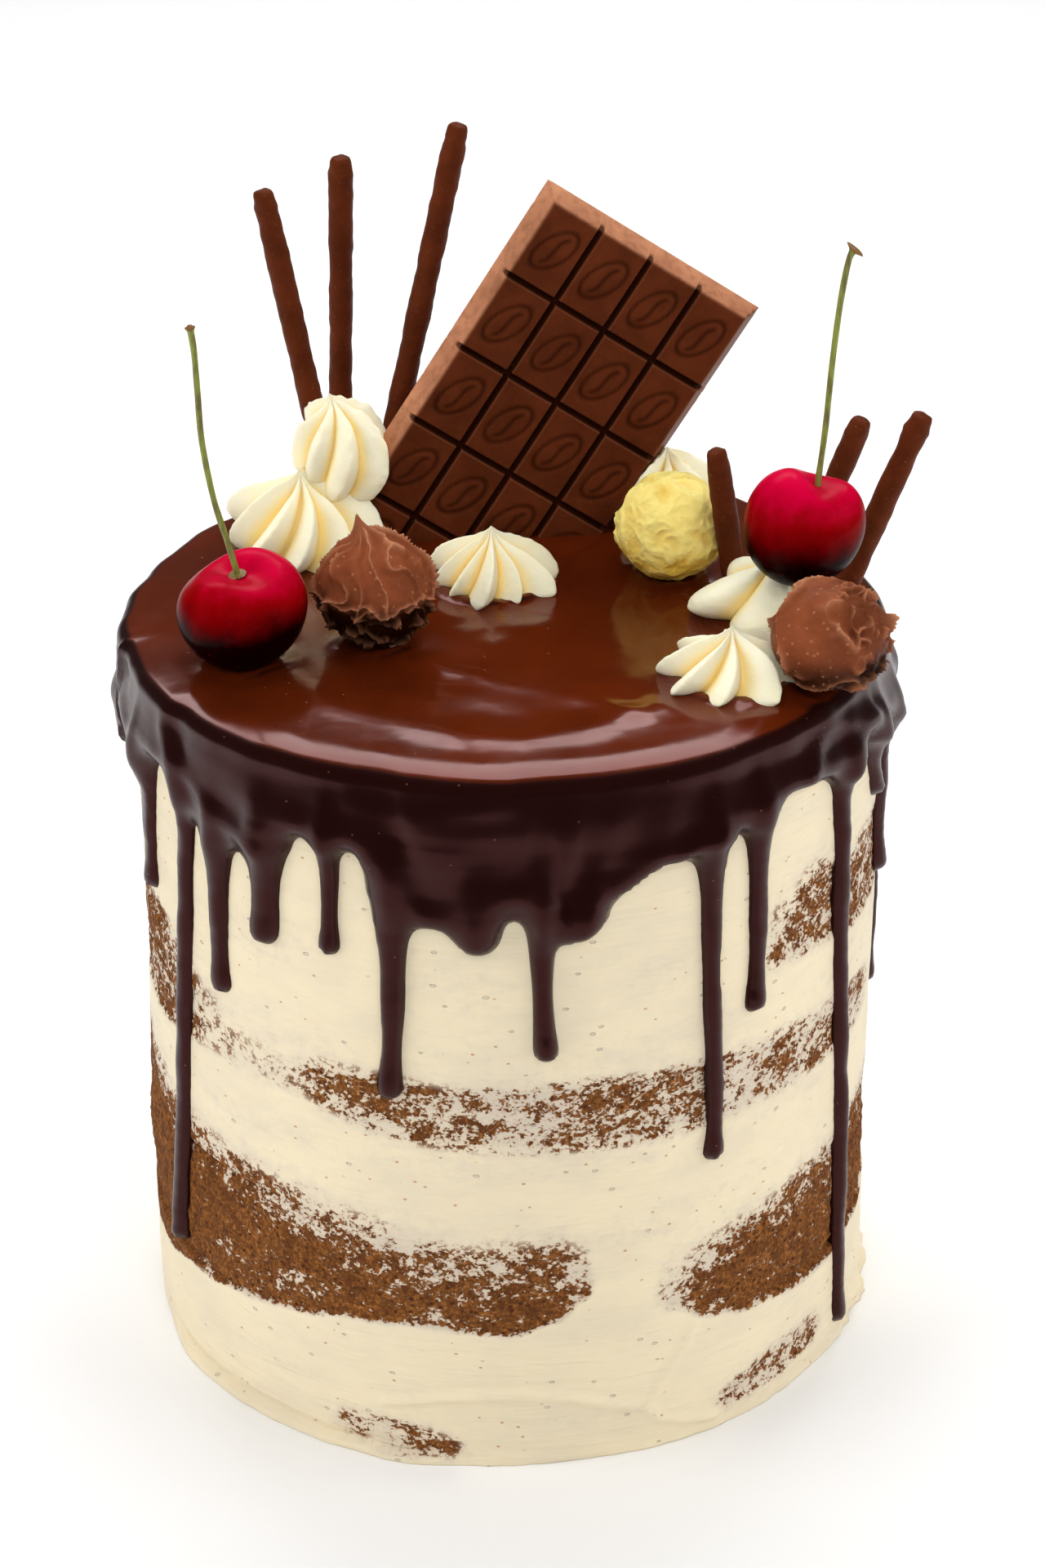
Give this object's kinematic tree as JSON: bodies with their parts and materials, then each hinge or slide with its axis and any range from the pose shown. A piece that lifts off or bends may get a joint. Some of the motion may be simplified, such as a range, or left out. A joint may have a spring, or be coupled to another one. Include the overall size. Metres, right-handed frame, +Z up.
{
  "type": "drip cake",
  "caption": "Tall round layer cake with a scraped cream coat, dripping chocolate glaze and a topping of piped cream, cherries, truffles, sticks and a chocolate bar.",
  "frame": {"origin": "centre of the cake's flat underside, where it rests", "axes": "+Z up through the cake, -Y towards the viewer of the picture, +X to that viewer's right"},
  "size_m": [0.1608, 0.1572, 0.2361],
  "materials": {
    "sponge": "crumbly brown chocolate sponge",
    "filling": "smooth ivory buttercream",
    "coat": "scraped ivory buttercream with crumbs and bare patches",
    "glaze": "glossy dark chocolate glaze",
    "bar": "satin milk chocolate",
    "stick": "satin dark milk chocolate",
    "cherry": "glossy crimson skin, darker below",
    "stem": "olive green with a brown end",
    "truffle": "satin milk chocolate with raised ridges",
    "white_truffle": "satin white chocolate with soft ridges",
    "rosette": "smooth piped buttercream"
  },
  "bodies": {
    "root": {"sponge_1": "sponge", "sponge_2": "sponge", "sponge_3": "sponge", "sponge_4": "sponge", "filling_1": "filling", "filling_2": "filling", "filling_3": "filling", "cream_top": "filling", "cream_coat": "coat", "glaze": "glaze", "chocolate_bar": "bar", "stick_1": "stick", "stick_2": "stick", "stick_3": "stick", "stick_4": "stick", "stick_5": "stick", "stick_6": "stick", "cherry_left": "cherry", "cherry_right": "cherry", "cherry_left_stem": "stem", "cherry_right_stem": "stem", "truffle_left": "truffle", "truffle_right": "truffle", "truffle_white": "white_truffle", "rosette_peak": "rosette", "rosette_large": "rosette", "rosette_middle": "rosette", "rosette_front": "rosette", "rosette_seat": "rosette", "rosette_back": "rosette"}
  },
  "joints": []
}
